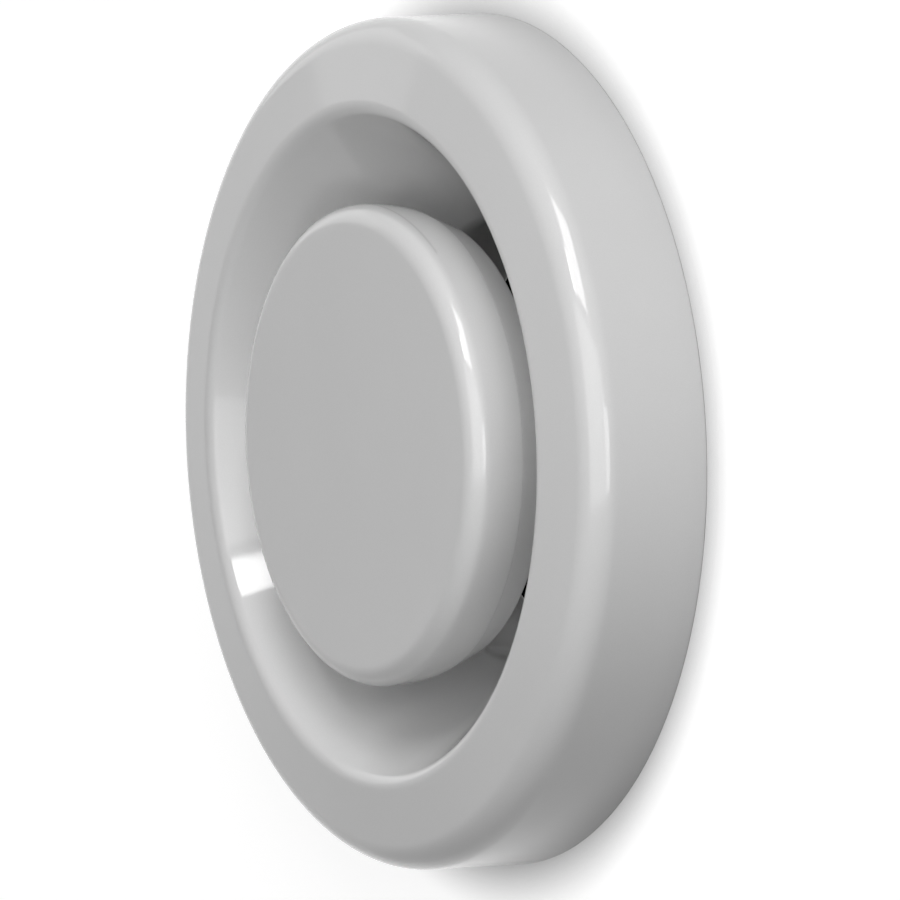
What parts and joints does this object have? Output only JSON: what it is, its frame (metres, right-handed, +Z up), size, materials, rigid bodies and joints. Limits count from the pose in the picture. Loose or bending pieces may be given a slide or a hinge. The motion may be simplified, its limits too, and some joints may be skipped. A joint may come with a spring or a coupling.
{
  "type": "extract air valve",
  "caption": "Round wall-mounted extract air valve: crowned front ring with funnel, disc screwed in and out on a spindle, bridge, and bayonet mounting frame for a duct.",
  "frame": {"origin": "where the valve's axis meets the wall, at the back of the mounting frame's flange", "axes": "+Y along the valve's axis into the duct, -Y towards the room, +Z up"},
  "size_m": [0.138, 0.0704, 0.138],
  "materials": {
    "ring_coating": "gloss powder coating, pale grey white",
    "disc_coating": "gloss powder coating, pale grey white",
    "foam": "closed-cell foam, cut edges",
    "galvanised_steel": "galvanised, faint spangle",
    "zinc_plate": "bright zinc plated strip",
    "rivet_steel": "plain steel rivets",
    "pin_steel": "turned steel",
    "bush_brass": "turned brass",
    "washer_zinc": "zinc plated, tumbled",
    "nut_steel": "zinc plated",
    "spindle_steel": "zinc plated threaded rod",
    "spring_steel": "phosphated spring steel"
  },
  "bodies": {
    "frame": {"mounting_frame": "galvanised_steel"},
    "valve": {"valve_ring": "ring_coating", "rim_gasket": "foam", "bridge": "zinc_plate", "bridge_rivets": "rivet_steel", "spindle_bush": "bush_brass", "bayonet_lug_1": "zinc_plate", "bayonet_lug_2": "zinc_plate", "bayonet_lug_3": "zinc_plate", "lug_rivets": "rivet_steel", "bayonet_pins": "pin_steel"},
    "stop_washer": {"stop_washer": "washer_zinc"},
    "disc": {"disc_shell": "disc_coating", "disc_pan": "disc_coating", "weld_nut": "nut_steel", "disc_washer": "washer_zinc", "disc_nut": "nut_steel", "spindle": "spindle_steel", "stop_clip": "spring_steel"},
    "lock_washer": {"lock_washer": "washer_zinc"},
    "lock_nut": {"lock_nut": "nut_steel"}
  },
  "joints": [
    {"name": "bayonet_twist", "type": "hinge", "parent": "frame", "child": "valve", "pos_m": [0, 0, 0], "axis": [0, -1, 0], "range_deg": [0, 22]},
    {"name": "disc_travel", "type": "slide", "parent": "valve", "child": "stop_washer", "axis": [0, -1, 0], "range_m": [-0.0088, 0.0151]},
    {"name": "disc_turn", "type": "hinge", "parent": "stop_washer", "child": "disc", "pos_m": [0, 0, 0], "axis": [0, -1, 0], "range_deg": [-2520, 4320]},
    {"name": "lock_travel", "type": "slide", "parent": "valve", "child": "lock_washer", "axis": [0, -1, 0], "range_m": [0, 0.0013]},
    {"name": "lock_turn", "type": "hinge", "parent": "lock_washer", "child": "lock_nut", "pos_m": [0, 0, 0], "axis": [0, -1, 0], "range_deg": [0, 360]}
  ],
  "couplings": [
    {"joint": "disc_travel", "follows": "disc_turn", "m_per_rad": 0.00019894},
    {"joint": "lock_travel", "follows": "lock_turn", "m_per_rad": 0.00019894}
  ]
}
